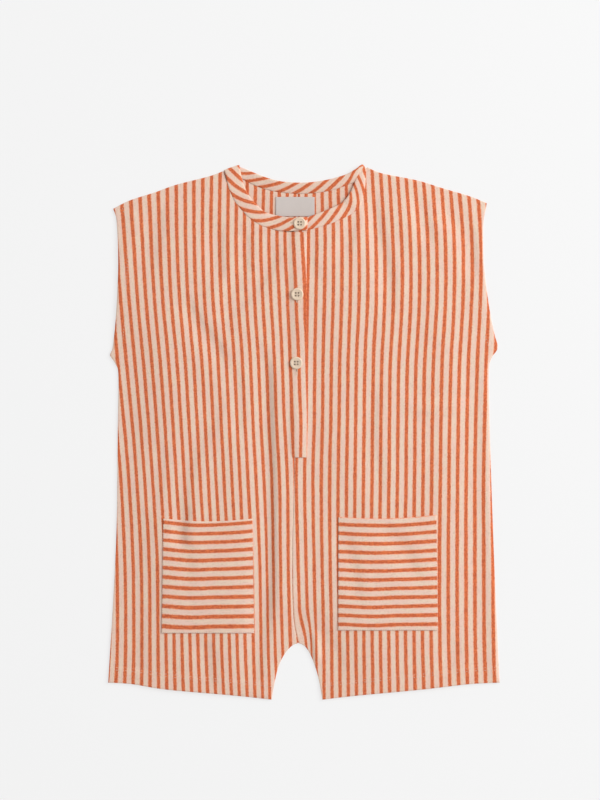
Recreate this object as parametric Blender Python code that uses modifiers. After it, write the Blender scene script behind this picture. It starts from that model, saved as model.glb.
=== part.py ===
"""A child's sleeveless striped romper, laid flat on its back with the front up.

The two back halves lie on z = 0 and the two front halves lie on them, all as walls of cloth
that the neckband, the button placket, the pockets, the label and the buttons are set on.
Tables and sizes are in millimetres: x runs to the wearer's left, y towards the neck, z up.
"""

from collections import namedtuple
from math import cos, hypot, pi, sin

import bmesh
import bpy
import numpy as np
from mathutils import Matrix, Vector

MM = 0.001  # the tables' unit, in metres

# Driving sizes
CLOTH = 1.2  # a panel's wall
GAP = 0.3  # between pieces that are sewn together
NECK_GAP = 0.7  # between the panels and the neckband's sewn edge
EDGE_TOP = 2 * CLOTH + GAP  # outside of the front where it meets the back at the silhouette
CROWN = 2.5  # how much higher the front lies away from its edges
CROWN_REACH = 22.0  # the width over which it rises
HEM_DEPTH = 16.0  # the turned-up hem, seen as a low step
HEM_STEP = 0.5
BAND_WALL = 1.6  # the doubled neckband
PLACKET_WALL = 1.4
PLACKET_WIDTH = 16.0
PLACKET_FOOT_Y = -25.5
POCKET_CLEARANCE = 0.55  # the pocket bridges the small hollows of the panel under it
PLACKET_CLEARANCE = 0.45
CENTRE_BACK_X = -6.4
LABEL_THICKNESS = 1.0
BUTTON_RADIUS = 6.25
BUTTON_HOLE_RADIUS = 0.8
BUTTON_HOLE_OFFSET = 1.4

# Grid density of the walls
FRONT_COLUMNS, FRONT_ROWS = 24, 30
BACK_COLUMNS, BACK_ROWS = 12, 24
BAND_STATIONS, BAND_COLUMNS = 76, 3
PLACKET_COLUMNS, PLACKET_ROWS = 3, 26
POCKET_CELLS = 9
ROW_CROWDING = 0.45  # rows lie closer together at the hem and at the neck

Edge = namedtuple("Edge", "place x y")
Fold = namedtuple("Fold", "place depth half_width route")
BandRow = namedtuple("BandRow", "place seam_x seam_y seam_z free_x free_y free_z")
Pocket = namedtuple("Pocket", "name right_x left_x foot_right_x foot_left_x top_y foot_y sag")
Button = namedtuple("Button", "name x y carrier")
Finish = namedtuple("Finish", "colour roughness")

RIGHT_SIDE = [
    Edge("hem corner", -196.0, -251.0),
    Edge("above the hem", -195.0, -233.0),
    Edge("thigh", -191.0, -168.0),
    Edge("hip", -187.5, -90.0),
    Edge("waist", -186.5, 0.0),
    Edge("below the armhole", -185.8, 56.0),
    Edge("underarm, lower side", -189.0, 68.5),
    Edge("underarm point", -194.2, 77.0),
    Edge("underarm, upper side", -191.5, 85.0),
    Edge("armhole, low", -188.0, 120.0),
    Edge("armhole, middle", -186.0, 168.0),
    Edge("armhole, high", -187.5, 210.0),
    Edge("shoulder tip", -191.0, 223.5),
]
LEFT_SIDE = [
    Edge("hem corner", 196.0, -251.0),
    Edge("above the hem", 195.0, -235.0),
    Edge("thigh", 192.0, -168.0),
    Edge("hip", 189.0, -90.0),
    Edge("waist", 186.0, 0.0),
    Edge("below the armhole", 185.0, 58.0),
    Edge("underarm, lower side", 187.5, 73.5),
    Edge("underarm point", 194.0, 84.0),
    Edge("underarm, upper side", 191.0, 97.0),
    Edge("armhole, low", 186.0, 121.0),
    Edge("armhole, middle", 180.0, 168.0),
    Edge("armhole, high", 179.5, 206.0),
    Edge("shoulder tip", 183.0, 229.0),
]
RIGHT_SHOULDER = [
    Edge("shoulder tip", -191.0, 223.5),
    Edge("outer", -174.0, 232.0),
    Edge("middle", -149.0, 240.0),
    Edge("inner", -128.0, 247.5),
    Edge("by the neck", -95.0, 256.0),
    Edge("neck point", -80.8, 261.2),
]
LEFT_SHOULDER = [
    Edge("shoulder tip", 183.0, 229.0),
    Edge("outer", 166.0, 236.0),
    Edge("middle", 139.0, 244.0),
    Edge("inner", 113.0, 252.0),
    Edge("by the neck", 78.0, 259.0),
    Edge("neck point", 62.8, 264.3),
]
RIGHT_HEM = [
    Edge("side corner", -196.0, -251.0),
    Edge("outer", -172.0, -252.5),
    Edge("middle", -137.0, -258.0),
    Edge("inner", -69.0, -264.0),
    Edge("inner corner", -32.5, -268.0),
]
LEFT_HEM = [
    Edge("side corner", 196.0, -251.0),
    Edge("outer", 165.0, -252.5),
    Edge("middle", 117.0, -258.0),
    Edge("inner", 53.0, -264.0),
    Edge("inner corner", 18.5, -268.0),
]
CROTCH = Edge("top of the arch", -6.2, -210.0)
RIGHT_INNER_LEG = [
    Edge("inner corner", -32.5, -268.0),
    Edge("above the hem", -29.0, -249.0),
    Edge("thigh", -25.5, -234.0),
    Edge("bend", -18.0, -219.0),
    CROTCH,
]
LEFT_INNER_LEG = [
    Edge("inner corner", 18.5, -268.0),
    Edge("above the hem", 15.0, -249.0),
    Edge("thigh", 11.0, -234.0),
    Edge("bend", 5.0, -219.0),
    CROTCH,
]
CENTRE_FRONT = [
    CROTCH,
    Edge("seat", -10.4, -185.0),
    Edge("between the pockets", -11.8, -125.0),
    Edge("below the placket", -9.6, -32.0),
    Edge("foot of the placket", -12.5, -18.0),
    Edge("neck", -12.5, 200.3),
]
PLACKET_FOOT_ROW = 4  # of that table: the line is curved up to it and straight above

# The neckband from its under end, past the wearer's left shoulder and the back, to its over
# end. Each row is one section of the strip's middle surface, from its sewn edge to its free one.
NECKBAND = [
    BandRow("under end", -11.6, 201.0, 4.3, -10.6, 214.1, 4.3),
    BandRow("under the button", -4.0, 201.2, 4.3, -4.0, 214.2, 4.3),
    BandRow("centre front", 5.0, 202.2, 4.3, 4.0, 215.4, 4.3),
    BandRow("left front, low", 26.0, 208.2, 4.3, 21.4, 221.6, 4.5),
    BandRow("left front, middle", 44.4, 216.3, 4.3, 37.5, 229.2, 5.0),
    BandRow("left front, bend", 54.7, 224.2, 4.2, 44.0, 234.8, 5.6),
    BandRow("left front, high", 59.2, 234.5, 4.0, 48.4, 242.0, 6.4),
    BandRow("left front, rising", 60.2, 245.5, 3.6, 51.9, 249.0, 7.6),
    BandRow("left shoulder, front", 59.9, 256.0, 3.0, 55.4, 258.4, 9.0),
    BandRow("left shoulder, turn", 58.6, 261.4, 2.7, 57.6, 265.0, 9.6),
    BandRow("left shoulder, top", 56.0, 261.6, 2.4, 55.0, 265.8, 9.5),
    BandRow("left shoulder, back", 53.0, 256.0, 2.1, 51.2, 263.0, 8.8),
    BandRow("left back, high", 45.0, 249.8, 1.4, 41.5, 257.6, 7.4),
    BandRow("left back, middle", 30.0, 244.0, 0.85, 26.5, 253.2, 6.0),
    BandRow("left back, low", 12.0, 240.4, 0.85, 10.0, 250.3, 5.2),
    BandRow("centre back", -6.6, 239.1, 0.85, -6.4, 249.6, 4.8),
    BandRow("right back, low", -26.0, 241.0, 0.85, -23.5, 251.0, 4.4),
    BandRow("right back, middle", -42.4, 244.6, 0.85, -37.8, 254.8, 3.4),
    BandRow("right back, high", -56.0, 250.2, 0.85, -50.4, 259.8, 2.0),
    BandRow("right shoulder, back", -68.0, 256.4, 0.85, -59.2, 263.6, 0.85),
    BandRow("right shoulder, under", -79.0, 260.2, 0.85, -64.1, 265.3, 0.85),
    BandRow("right shoulder, crease", -80.0, 261.6, 2.1, -64.6, 266.9, 2.1),
    BandRow("right shoulder, over", -79.2, 259.6, 3.4, -64.2, 264.8, 3.4),
    BandRow("right front, high", -75.4, 244.5, 3.8, -61.4, 251.4, 3.9),
    BandRow("right front, upper", -69.5, 231.5, 4.2, -57.2, 240.4, 4.3),
    BandRow("right front, bend", -62.0, 221.7, 4.3, -52.0, 232.8, 4.5),
    BandRow("right front, middle", -53.2, 213.0, 4.3, -44.6, 224.8, 4.5),
    BandRow("right front, low", -42.4, 206.5, 4.3, -37.0, 219.2, 4.4),
    BandRow("right front, inner", -28.3, 202.0, 4.4, -25.0, 216.3, 4.5),
    BandRow("before the overlap", -18.0, 201.0, 5.9, -16.5, 214.9, 5.9),
    BandRow("start of the overlap", -12.6, 201.0, 6.3, -11.6, 214.2, 6.3),
    BandRow("over end", 3.5, 201.8, 6.3, 3.5, 215.2, 6.3),
]
BACK_NECK_ROWS = slice(10, 21)  # the neckband's rows that the back panels are sewn to
CENTRE_BACK_ROW = 5  # of those
LEFT_NECK_ROWS = slice(1, 9)
RIGHT_NECK_ROWS = slice(23, 29)

# Largest folds, as troughs along a route of (x, y) points; a negative depth is a ridge.
FOLDS = [
    Fold("right front, hip crease", 1.7, 10.0,
         [(-53, 97), (-36, 62), (-34, 2), (-32, -68), (-34, -143), (-35, -193), (-42, -258)]),
    Fold("right front, chest to side", 1.5, 9.0,
         [(-118, 135), (-101, 107), (-86, 87), (-74, 65)]),
    Fold("right front, waist to pocket", 1.4, 10.0,
         [(-79, 57), (-84, 22), (-104, -13), (-116, -48), (-117, -83), (-112, -143), (-117, -198)]),
    Fold("right front, by the placket", 1.2, 9.0,
         [(-26, 184), (-39, 157), (-69, 127), (-80, 110)]),
    Fold("left front, neck to chest", 1.3, 9.0,
         [(73, 242), (78, 207), (83, 177), (91, 152), (88, 107)]),
    Fold("left front, by the armhole", 1.4, 10.0,
         [(151, 234), (170, 207), (174, 157)]),
    Fold("left front, below the shoulder", 1.1, 9.0,
         [(121, 237), (123, 207), (136, 182)]),
    Fold("left front, across the waist", -0.8, 11.0,
         [(92, 30), (126, 25), (172, 27)]),
    Fold("left front, waist", 0.9, 10.0,
         [(76, 57), (68, 12), (76, -38), (78, -78)]),
    Fold("left front, pocket", 1.0, 11.0,
         [(74, -93), (101, -113), (121, -158)]),
    Fold("crotch pull", 1.4, 9.0,
         [(2, -196), (10, -222)]),
]
FOLD_FADE = 0.22  # the share of its route over which a fold fades out at each end
RIDGE_SHARE = 0.3  # of the depth, thrown up on both sides of a trough

POCKETS = [
    Pocket("pocket_right", -140.6, -52.0, -142.4, -50.0, -86.9, -201.3, 3.0),
    Pocket("pocket_left", 34.4, 132.4, 34.0, 134.0, -83.8, -198.5, 2.6),
]
LABEL_CORNERS = (Edge("foot, right", -28.3, 216.0), Edge("top, left", 11.3, 238.3))
BUTTONS = [
    Button("button_1", -4.4, 208.6, "neckband"),
    Button("button_2", -6.9, 137.7, "placket"),
    Button("button_3", -7.8, 69.0, "placket"),
]

STRIPED_COTTON = Finish((0.66, 0.33, 0.21), 0.92)
BIAS_COTTON = Finish((0.69, 0.36, 0.24), 0.90)
INSIDE_COTTON = Finish((0.62, 0.32, 0.21), 0.94)
WOVEN_LABEL = Finish((0.66, 0.65, 0.65), 0.75)
CREAM_BUTTON = Finish((0.80, 0.68, 0.48), 0.45)


class Path:
    """A line through one chain of points or more, read by the share of its length. It is
    smooth along each chain and may turn a corner from one chain to the next."""

    STEPS = 8

    def __init__(self, *chains):
        fine = [np.array(chains[0][0], float)]
        for chain in chains:
            knots = [np.array(p, float) for p in chain]
            padded = [2 * knots[0] - knots[1], *knots, 2 * knots[-1] - knots[-2]]
            for before, start, end, after in zip(padded, padded[1:], padded[2:], padded[3:]):
                for step in range(1, self.STEPS + 1):
                    fine.append(self.between(before, start, end, after, step / self.STEPS))
        self.points = np.array(fine)
        runs = np.linalg.norm(np.diff(self.points, axis=0), axis=1)
        self.length = runs.sum()
        self.shares = np.concatenate([[0], np.cumsum(runs)]) / self.length

    @staticmethod
    def between(before, start, end, after, t):
        """A point on the Catmull-Rom curve from start to end."""
        bend = 2 * before - 5 * start + 4 * end - after
        twist = 3 * (start - end) + after - before
        return start + 0.5 * t * ((end - before) + t * (bend + t * twist))

    def at(self, share):
        return np.array([np.interp(share, self.shares, c) for c in self.points.T])


def plan(edges):
    return [(e.x, e.y) for e in edges]


def offset(points, distances):
    """Moves a chain of plan points to its right-hand side, as seen along the chain."""
    points = np.array(points, float)
    along = np.gradient(points, axis=0)
    along /= np.linalg.norm(along, axis=1)[:, None]
    aside = np.stack([along[:, 1], -along[:, 0]], axis=1)
    return points + aside * np.reshape(distances, (-1, 1))


def bell(t):
    """1 at 0, falling smoothly to 0 at -1 and 1."""
    return (1 - t * t) ** 2 if abs(t) < 1 else 0.0


def smooth_step(t):
    t = min(max(t, 0.0), 1.0)
    return t * t * (3 - 2 * t)


def nearest(chain, x, y):
    """The distance from a point to a chain of points, and the share of the chain there."""
    start, end = chain[:-1], chain[1:]
    run = end - start
    t = np.clip(((np.array([x, y]) - start) * run).sum(axis=1) / (run * run).sum(axis=1), 0, 1)
    away = np.hypot(*(start + run * t[:, None] - (x, y)).T)
    best = int(away.argmin())
    return float(away[best]), (best + t[best]) / len(run)


HEMS = [np.array(plan(RIGHT_HEM)), np.array(plan(LEFT_HEM))]
SEWN_EDGES = [
    np.array(plan(RIGHT_SIDE + RIGHT_SHOULDER[1:])),
    np.array(plan(LEFT_SIDE + LEFT_SHOULDER[1:])),
    np.array(plan(RIGHT_INNER_LEG + LEFT_INNER_LEG[-2::-1])),
    *HEMS,
]
FOLD_ROUTES = [(fold, Path(fold.route).points) for fold in FOLDS]


def fold_height(x, y):
    """How far the folds move the front's outside up or down at a place."""
    height = 0.0
    for fold, route in FOLD_ROUTES:
        away, share = nearest(route, x, y)
        fade = smooth_step(min(share, 1 - share) / FOLD_FADE)
        across = away / fold.half_width
        ridge = RIDGE_SHARE * bell((across - 1.5) / 0.9)
        height += fold.depth * fade * (ridge - bell(across))
    return height


def front_top(x, y):
    """Height of the front's outside, in millimetres."""
    edge = min(nearest(chain, x, y)[0] for chain in SEWN_EDGES)
    inwards = min(edge / CROWN_REACH, 1.0)
    rise = inwards * (2 - inwards)
    hem = min(nearest(chain, x, y)[0] for chain in HEMS)
    step = HEM_STEP * smooth_step((HEM_DEPTH - hem) / 3)
    return EDGE_TOP + max(CROWN * rise + rise * fold_height(x, y), 0.0) + step


def crowded(share):
    """Shares from 0 to 1 that lie closer together near both ends."""
    return share - ROW_CROWDING * sin(2 * pi * share) / (2 * pi)


def coons(bottom, top, side, inner, u, v):
    """The point u across and v up the patch between four paths."""
    across = (1 - v) * bottom.at(u) + v * top.at(u)
    up = (1 - u) * side.at(v) + u * inner.at(v)
    low = (1 - u) * bottom.at(0) + u * bottom.at(1)
    high = (1 - u) * top.at(0) + u * top.at(1)
    return across + up - (1 - v) * low - v * high


def material_for(name, finish):
    material = bpy.data.materials.new(name)
    material.use_nodes = True
    shader = material.node_tree.nodes["Principled BSDF"]
    shader.inputs["Base Color"].default_value = (*finish.colour, 1)
    shader.inputs["Roughness"].default_value = finish.roughness
    shader.inputs["Metallic"].default_value = 0.0
    return material


def place(mesh, name, finish):
    """Puts a mesh in the romper's collection as a smooth-shaded object of its own."""
    part = bpy.data.objects.new(name, mesh)
    bpy.data.collections["romper"].objects.link(part)
    mesh.materials.append(material_for(name, finish))
    mesh.shade_smooth()
    return part


def solidify(part, thickness, side):
    wall = part.modifiers.new("wall", "SOLIDIFY")
    wall.thickness = thickness * MM
    wall.offset = side


def sheet(name, grid, thickness, finish, side=-1.0):
    """A wall of cloth: a grid of points, outside up, thickened by Solidify."""
    mesh = bpy.data.meshes.new(name)
    shape = bmesh.new()
    rows = [[shape.verts.new(Vector(point) * MM) for point in row] for row in grid]
    for low, high in zip(rows, rows[1:]):
        for corners in zip(low, low[1:], high[1:], high):
            shape.faces.new(corners)
    bmesh.ops.recalc_face_normals(shape, faces=shape.faces)
    if sum(face.normal.z for face in shape.faces) < 0:
        bmesh.ops.reverse_faces(shape, faces=shape.faces)
    shape.to_mesh(mesh)
    shape.free()
    part = place(mesh, name, finish)
    solidify(part, thickness, side)
    mesh.set_sharp_from_angle(angle=pi / 4)
    return part


def panel(name, bottom, top, side, inner, size, height, finish):
    """One half of the front or the back, between its four edges."""
    columns, rows = size
    grid = []
    for j in range(rows + 1):
        v = crowded(j / rows)
        places = [coons(bottom, top, side, inner, i / columns, v) for i in range(columns + 1)]
        grid.append([(x, y, height(x, y)) for x, y in places])
    return sheet(name, grid, CLOTH, finish)


def neck_edge(rows, towards):
    """The edge that a panel is cut to along the neckband, clear of its sewn edge. Where the
    band stands up, half its wall reaches out over that edge too."""
    clear = []
    for row in rows:
        rise = abs(row.free_z - row.seam_z)
        width = hypot(row.free_x - row.seam_x, row.free_y - row.seam_y)
        clear.append(NECK_GAP + BAND_WALL / 2 * rise / hypot(rise, width))
    return offset([(row.seam_x, row.seam_y) for row in rows], np.array(clear) * towards)


def build_front(name, side, shoulder, hem, leg, neck, towards):
    """One front half. Its top edge runs over the shoulder and down the neck to the centre."""
    centre = offset(plan(CENTRE_FRONT), towards * GAP / 2)
    inner = Path([*plan(leg)[:-1], centre[0]], centre[:PLACKET_FOOT_ROW + 1],
                 centre[PLACKET_FOOT_ROW:])
    top = Path(plan(shoulder), [plan(shoulder)[-1], *neck, centre[-1]])
    panel(name, Path(plan(hem)), top, Path(plan(side)), inner, (FRONT_COLUMNS, FRONT_ROWS),
          front_top, STRIPED_COTTON)


def build_fronts():
    right_neck = neck_edge(NECKBAND[RIGHT_NECK_ROWS], 1)
    left_neck = neck_edge(NECKBAND[LEFT_NECK_ROWS], 1)[::-1]
    build_front("front_right_panel", RIGHT_SIDE, RIGHT_SHOULDER, RIGHT_HEM, RIGHT_INNER_LEG,
                right_neck, -1)
    build_front("front_left_panel", LEFT_SIDE, LEFT_SHOULDER, LEFT_HEM, LEFT_INNER_LEG,
                left_neck, 1)


def build_back(name, side, shoulder, hem, leg, towards):
    """One back half, flat on the ground, to the straight centre-back seam."""
    neck = neck_edge(NECKBAND[BACK_NECK_ROWS], -1)
    seam_x = CENTRE_BACK_X + towards * GAP / 2
    centre = [(seam_x, CROTCH.y), (seam_x, neck[CENTRE_BACK_ROW][1])]
    own = [point for point in neck if (point[0] - CENTRE_BACK_X) * towards > 1]
    own.sort(key=lambda point: -abs(point[0]))
    inner = Path([*plan(leg)[:-1], centre[0]], centre)
    top = Path(plan(shoulder), [plan(shoulder)[-1], *own, centre[-1]])
    panel(name, Path(plan(hem)), top, Path(plan(side)), inner, (BACK_COLUMNS, BACK_ROWS),
          lambda x, y: CLOTH, INSIDE_COTTON)


def build_backs():
    build_back("back_right_panel", RIGHT_SIDE, RIGHT_SHOULDER, RIGHT_HEM, RIGHT_INNER_LEG, -1)
    build_back("back_left_panel", LEFT_SIDE, LEFT_SHOULDER, LEFT_HEM, LEFT_INNER_LEG, 1)


def build_neckband():
    """The strip round the neck, swept through its sections."""
    seam = Path([(row.seam_x, row.seam_y, row.seam_z) for row in NECKBAND])
    free = Path([(row.free_x, row.free_y, row.free_z) for row in NECKBAND])
    steps = seam.STEPS * (len(NECKBAND) - 1)
    grid = []
    for station in range(BAND_STATIONS + 1):
        row = round(station * steps / BAND_STATIONS)
        grid.append([
            seam.points[row] + (free.points[row] - seam.points[row]) * column / BAND_COLUMNS
            for column in range(BAND_COLUMNS + 1)
        ])
    return sheet("neckband", grid, BAND_WALL, BIAS_COTTON, side=0.0)


def patch_on_front(name, corner_at, cells, clearance, thickness, finish):
    """A piece that lies on the front: the front's points, moved out."""
    columns, rows = cells
    grid = []
    for j in range(rows + 1):
        places = [corner_at(i / columns, j / rows) for i in range(columns + 1)]
        grid.append([(x, y, front_top(x, y) + clearance + thickness) for x, y in places])
    return sheet(name, grid, thickness, finish)


def build_placket():
    right_x = CENTRE_FRONT[-1].x
    top_y = CENTRE_FRONT[-1].y - 0.4

    def at(u, v):
        return right_x + u * PLACKET_WIDTH, PLACKET_FOOT_Y + v * (top_y - PLACKET_FOOT_Y)

    patch_on_front("placket_over", at, (PLACKET_COLUMNS, PLACKET_ROWS), PLACKET_CLEARANCE,
                   PLACKET_WALL, STRIPED_COTTON)


def build_pocket(pocket):
    def at(u, v):
        foot_x = pocket.foot_right_x + u * (pocket.foot_left_x - pocket.foot_right_x)
        top_x = pocket.right_x + u * (pocket.left_x - pocket.right_x)
        top_y = pocket.top_y - pocket.sag * sin(pi * u)
        return foot_x + v * (top_x - foot_x), pocket.foot_y + v * (top_y - pocket.foot_y)

    patch_on_front(pocket.name, at, (POCKET_CELLS, POCKET_CELLS), POCKET_CLEARANCE, CLOTH,
                   STRIPED_COTTON)


def build_label():
    foot, top = LABEL_CORNERS
    height = CLOTH + GAP + LABEL_THICKNESS
    grid = [[(x, y, height) for x in (foot.x, top.x)] for y in (foot.y, top.y)]
    sheet("label", grid, LABEL_THICKNESS, WOVEN_LABEL)


def button_mesh(name):
    """A dished disc with a round rim, turned about its axis."""
    rim = BUTTON_RADIUS
    profile = [(0, 1.7), (rim - 2.3, 1.7), (rim - 1.8, 2.3), (rim - 0.7, 2.3),
               (rim, 1.6), (rim, 0.6), (rim - 0.7, 0), (0, 0)]
    mesh = bpy.data.meshes.new(name)
    shape = bmesh.new()
    points = [shape.verts.new((radius * MM, 0, height * MM)) for radius, height in profile]
    for pair in zip(points, points[1:]):
        shape.edges.new(pair)
    shape.to_mesh(mesh)
    shape.free()
    return mesh


def hole_cutter(name, centre):
    """Four pins that cut a button's sewing holes."""
    mesh = bpy.data.meshes.new(name)
    shape = bmesh.new()
    for quarter in range(4):
        angle = pi / 4 + quarter * pi / 2
        across = Vector((cos(angle), sin(angle), 0)) * BUTTON_HOLE_OFFSET * MM * 2 ** 0.5
        bmesh.ops.create_cone(shape, cap_ends=True, segments=8, radius1=BUTTON_HOLE_RADIUS * MM,
                              radius2=BUTTON_HOLE_RADIUS * MM, depth=12 * MM,
                              matrix=Matrix.Translation(across))
    shape.to_mesh(mesh)
    shape.free()
    cutter = bpy.data.objects.new(name, mesh)
    bpy.data.collections["cutters"].objects.link(cutter)
    cutter.location = centre
    cutter.hide_render = True
    cutter.display_type = "WIRE"
    return cutter


def build_button(button):
    if button.carrier == "neckband":
        seat = NECKBAND[-1].seam_z + BAND_WALL / 2
    else:
        seat = front_top(button.x, button.y) + PLACKET_CLEARANCE + PLACKET_WALL
    centre = Vector((button.x, button.y, seat + GAP)) * MM
    part = place(button_mesh(button.name), button.name, CREAM_BUTTON)
    part.location = centre
    turn = part.modifiers.new("turn", "SCREW")
    turn.steps = turn.render_steps = 24
    turn.use_merge_vertices = True
    turn.merge_threshold = 0.00001
    holes = part.modifiers.new("sewing holes", "BOOLEAN")
    holes.object = hole_cutter(button.name + "_holes", centre)


def main():
    for old in list(bpy.data.objects):
        bpy.data.objects.remove(old)
    for name in ("romper", "cutters"):
        bpy.context.scene.collection.children.link(bpy.data.collections.new(name))
    build_backs()
    build_fronts()
    build_neckband()
    build_placket()
    for pocket in POCKETS:
        build_pocket(pocket)
    build_label()
    for button in BUTTONS:
        build_button(button)


main()
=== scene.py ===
"""Dresses the child's striped romper: cloth shells, stitching, buttons, floor, light, camera.

Tables and sizes are in millimetres, as on the flat garment: x runs to the wearer's left,
y towards the neck and z up, out of the front.
"""

from collections import namedtuple
from math import cos, hypot, pi, sin

import bmesh
import bpy
import numpy as np
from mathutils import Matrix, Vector, noise


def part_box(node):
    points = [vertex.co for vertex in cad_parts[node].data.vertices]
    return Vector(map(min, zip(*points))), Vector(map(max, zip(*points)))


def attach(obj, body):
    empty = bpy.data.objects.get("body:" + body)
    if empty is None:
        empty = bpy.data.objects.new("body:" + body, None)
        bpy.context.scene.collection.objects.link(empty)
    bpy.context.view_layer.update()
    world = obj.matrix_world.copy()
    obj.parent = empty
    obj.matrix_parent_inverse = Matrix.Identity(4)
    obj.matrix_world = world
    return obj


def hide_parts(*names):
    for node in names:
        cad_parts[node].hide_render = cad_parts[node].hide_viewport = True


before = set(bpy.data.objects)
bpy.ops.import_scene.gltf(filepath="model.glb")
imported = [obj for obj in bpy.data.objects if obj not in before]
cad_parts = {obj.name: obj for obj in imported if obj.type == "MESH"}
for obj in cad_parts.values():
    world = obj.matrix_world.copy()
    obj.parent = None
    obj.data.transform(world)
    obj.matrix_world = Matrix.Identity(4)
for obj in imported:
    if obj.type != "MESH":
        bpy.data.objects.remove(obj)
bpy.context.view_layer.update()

MM = 0.001  # the tables' unit, in metres
BODY = "root"

# ---- driving sizes

CLOTH = 0.9  # a single layer
TURNED_CLOTH = 1.4  # where it is turned in, at hems and armholes
BACK_TURN_IN = 0.3  # how much thicker the back is there
TURN_RAMP = 2.5  # the width over which such a step rises
GROUND = 0.05  # the back's underside over the floor
EDGE_TOP = 3.0  # outside of the front at its open edges
CROWN = 1.0  # how much higher the front lies away from its edges
CROWN_REACH = 60.0
RELIEF_REACH = 4.0  # how far from an edge the folds reach their full depth
LOWEST_TOP = 1.75  # the front's outside where it is pressed on the back
TURNED_RISE = 0.95  # how much higher that is where the cloth is turned in
LANDING = 0.15  # how softly a fold runs out on it
HEM_DEPTH = 16.0
HEM_STEP = 0.35
ARMHOLE_DEPTH = 9.0
SEAM_DROP = 1.2  # how far the front comes down where it is sewn to the back
SEAM_REACH = 50.0
SEAM_GAP = 0.08  # between the halves of the front, and of the back
NECK_LAP = 0.6  # of the neckband over the edges of the panels
BAND_WALL = 1.5
BAND_LEVEL = 5.0  # the front's height that the neckband's rows are given for
BAND_TOP = 0.58  # the height of its outside over its middle, as a share of its wall
STRIPE_PITCH = 8.3
BACK_STRIPE_SHIFT = 2.2  # of the backs' stripes towards the centre, against the fronts'
BIAS_ANGLE = 0.55  # of the neckband's stripes to its own length, in radians
PLACKET_WALL = 0.75
PLACKET_LIFT = 0.1
PLACKET_LAP = 1.8  # how far its sewn edge runs on over the right front
SEWN_THIN = 0.9  # how much thinner it is at its sewn edge, as a share of its wall
SEWN_REACH = 0.4  # over which share of its width
FREE_THIN = 0.12  # the same at its free edge
FREE_REACH = 0.25
POCKET_WALL = 0.8
POCKET_LIFT = 0.1
POCKET_PUFF = 0.35  # how far it swells away from its stitches
POCKET_PUFF_REACH = 9.0
POCKET_HEM_DEPTH = 9.0
POCKET_HEM_STEP = 0.25
POCKET_HEM_RAMP = 1.5
LABEL_WALL = 0.4
LABEL_LIFT = 0.12  # over the back
LABEL_FOOT_LIFT = 0.15  # more at its lower edge
LABEL_BULGE = 0.25  # more between its edges
LABEL_RIPPLE = 0.4
BUTTON_HOLE_RADIUS = 0.88
BUTTON_HOLE_OFFSET = 1.35
BUTTON_SINK = 0.25  # how far a button presses into the cloth

# Columns and rows of points on each sheet
FRONT_GRID = (97, 237)
BACK_GRID = (49, 119)
PLACKET_GRID = (15, 200)
POCKET_GRID = (61, 73)
LABEL_GRID = (33, 19)
PATH_STEPS = 8  # points between two rows of a table
RIM_STEPS = 4  # faces round a cloth edge

# Towards is -1 for the wearer's right half and 1 for the left one.
Half = namedtuple("Half", "name towards side shoulder hem leg neck_rows stripes")
Stripes = namedtuple("Stripes", "rows numbers")
Fold = namedtuple("Fold", "place depth steep gentle route")
BandRow = namedtuple("BandRow", "place seam_x seam_y seam_z free_x free_y free_z sewn")
Pull = namedtuple("Pull", "panel x y reach_x reach_y shift")
Pocket = namedtuple("Pocket", "name right_x left_x foot_right_x foot_left_x top_y foot_y sag "
                    "tilt first pitch spread dip_at dip_top dip_foot")
Button = namedtuple("Button", "name hole_x hole_y hole_turn")
Sewing = namedtuple("Sewing", "name level rise apart strand reach material")

# ---- the cut, as in the frame

# Both halves' edges: the place, then its x and y on the wearer's right and on the left.
SIDES = [
    ("hem corner", -196, -251, 196, -251),
    ("above the hem", -195, -233, 195, -235),
    ("thigh", -191, -168, 192, -168),
    ("hip", -187.5, -90, 189, -90),
    ("waist", -186.5, 0, 186, 0),
    ("below the armhole", -185.8, 56, 185, 58),
    ("underarm, lower side", -189, 68.5, 187.5, 73.5),
    ("underarm point", -194.2, 77, 194, 84),
    ("underarm, upper side", -191.5, 85, 191, 97),
    ("armhole, low", -188, 120, 186, 121),
    ("armhole, middle", -186, 168, 180, 168),
    ("armhole, high", -187.5, 210, 179.5, 206),
    ("shoulder tip", -191, 223.5, 183, 229),
]
UNDERARM_ROW = 7  # the side seam ends there and the armhole starts
SHOULDERS = [
    SIDES[-1],
    ("outer", -174, 232, 166, 236),
    ("middle", -149, 240, 139, 244),
    ("inner", -128, 247.5, 113, 252),
    ("by the neck", -95, 256, 78, 259),
    ("neck point", -80.8, 261.2, 62.4, 265.4),
]
LEG_HEMS = [
    SIDES[0],
    ("outer", -172, -252.5, 165, -252.5),
    ("middle", -137, -258, 117, -258),
    ("inner", -69, -264, 53, -264),
    ("inner corner", -32.5, -268, 18.5, -268),
]
CROTCH = (-5.8, -211.4)  # the top of the arch between the legs
INNER_LEGS = [
    LEG_HEMS[-1],
    ("above the hem", -29, -249, 15, -249),
    ("thigh", -25.5, -235, 11.2, -235),
    ("bend", -19.5, -222.5, 6.2, -222.5),
    ("round", -12, -214, 0.4, -214),
    ("crotch", *CROTCH, *CROTCH),
]
CENTRE_FRONT = [
    CROTCH,
    (-10.4, -185),  # seat
    (-11.8, -125),  # between the pockets
    (-9.6, -32),  # below the placket
    (-12.5, -18),  # foot of the placket
    (-12.5, 200.3),  # neck
]
PLACKET_FOOT_ROW = 4  # of that table: the line is curved up to it and straight above
CENTRE_BACK_X = -6.4
CENTRE_CLEAR = 1.0  # a half's edge at the back neck uses the rows further than this from it

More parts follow.
